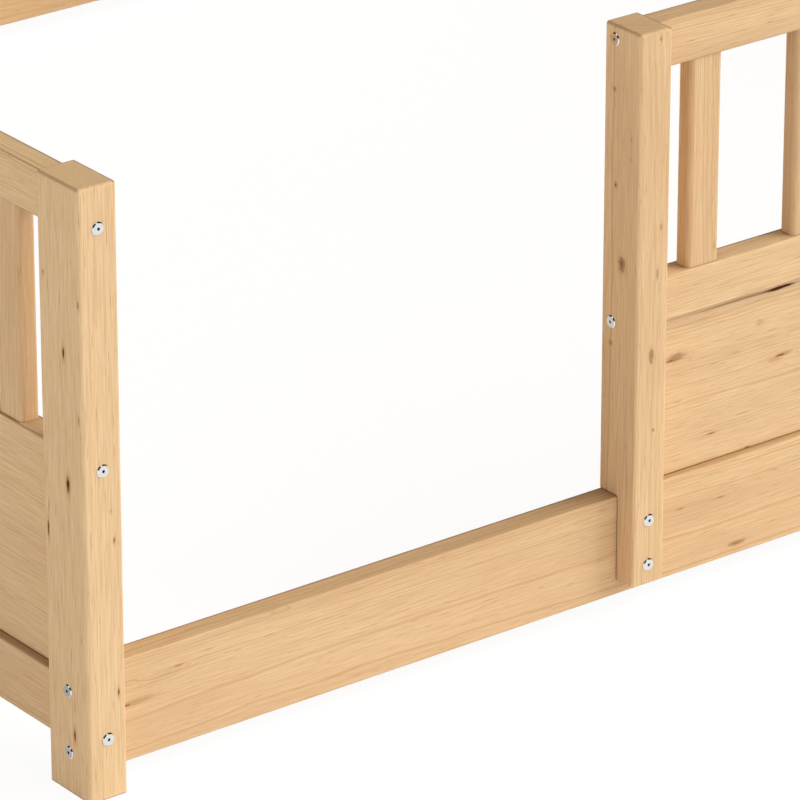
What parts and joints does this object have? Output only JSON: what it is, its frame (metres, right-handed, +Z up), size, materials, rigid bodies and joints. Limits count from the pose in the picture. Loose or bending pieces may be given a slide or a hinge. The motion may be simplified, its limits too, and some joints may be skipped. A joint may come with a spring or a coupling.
{
  "type": "floor bed",
  "caption": "Low pine floor bed frame: posts, rails, slatted guards and thin panels stand round a mattress lying on the floor, with an open doorway at one end of the front.",
  "frame": {"origin": "centre of the bounding box, on the floor", "axes": "+Z up; the front, with the doorway at its left end, faces -Y; +X runs to the right along the front"},
  "size_m": [2.0188, 1.511, 0.53],
  "materials": {
    "pine": "sanded, unfinished",
    "pine_panel": "sanded, unfinished",
    "beech": "plain",
    "zinc_steel": "bright zinc plated"
  },
  "bodies": {
    "root": {"back_bottom_rail": "pine", "back_mid_rail": "pine", "back_panel": "pine_panel", "back_slats": "pine", "back_top_rail": "pine", "barrel_nuts": "zinc_steel", "corner_post_back_left": "pine", "corner_post_back_right": "pine", "corner_post_front_left": "pine", "corner_post_front_right": "pine", "cross_rail_bolts": "zinc_steel", "door_post": "pine", "door_post_bolts": "zinc_steel", "front_bottom_rail": "pine", "guard_mid_rail": "pine", "guard_panel": "pine_panel", "guard_slat_1": "pine", "guard_slat_10": "pine", "guard_slat_11": "pine", "guard_slat_12": "pine", "guard_slat_2": "pine", "guard_slat_3": "pine", "guard_slat_4": "pine", "guard_slat_5": "pine", "guard_slat_6": "pine", "guard_slat_7": "pine", "guard_slat_8": "pine", "guard_slat_9": "pine", "guard_top_rail": "pine", "insert_nuts": "zinc_steel", "lap_bolts": "zinc_steel", "left_bottom_rail": "pine", "left_mid_rail": "pine", "left_panel": "pine_panel", "left_slat_1": "pine", "left_slat_10": "pine", "left_slat_11": "pine", "left_slat_12": "pine", "left_slat_2": "pine", "left_slat_3": "pine", "left_slat_4": "pine", "left_slat_5": "pine", "left_slat_6": "pine", "left_slat_7": "pine", "left_slat_8": "pine", "left_slat_9": "pine", "left_top_rail": "pine", "right_bottom_rail": "pine", "right_mid_rail": "pine", "right_panel": "pine_panel", "right_slats": "pine", "right_top_rail": "pine", "side_rail_bolts": "zinc_steel", "wooden_dowels": "beech"}
  },
  "joints": []
}
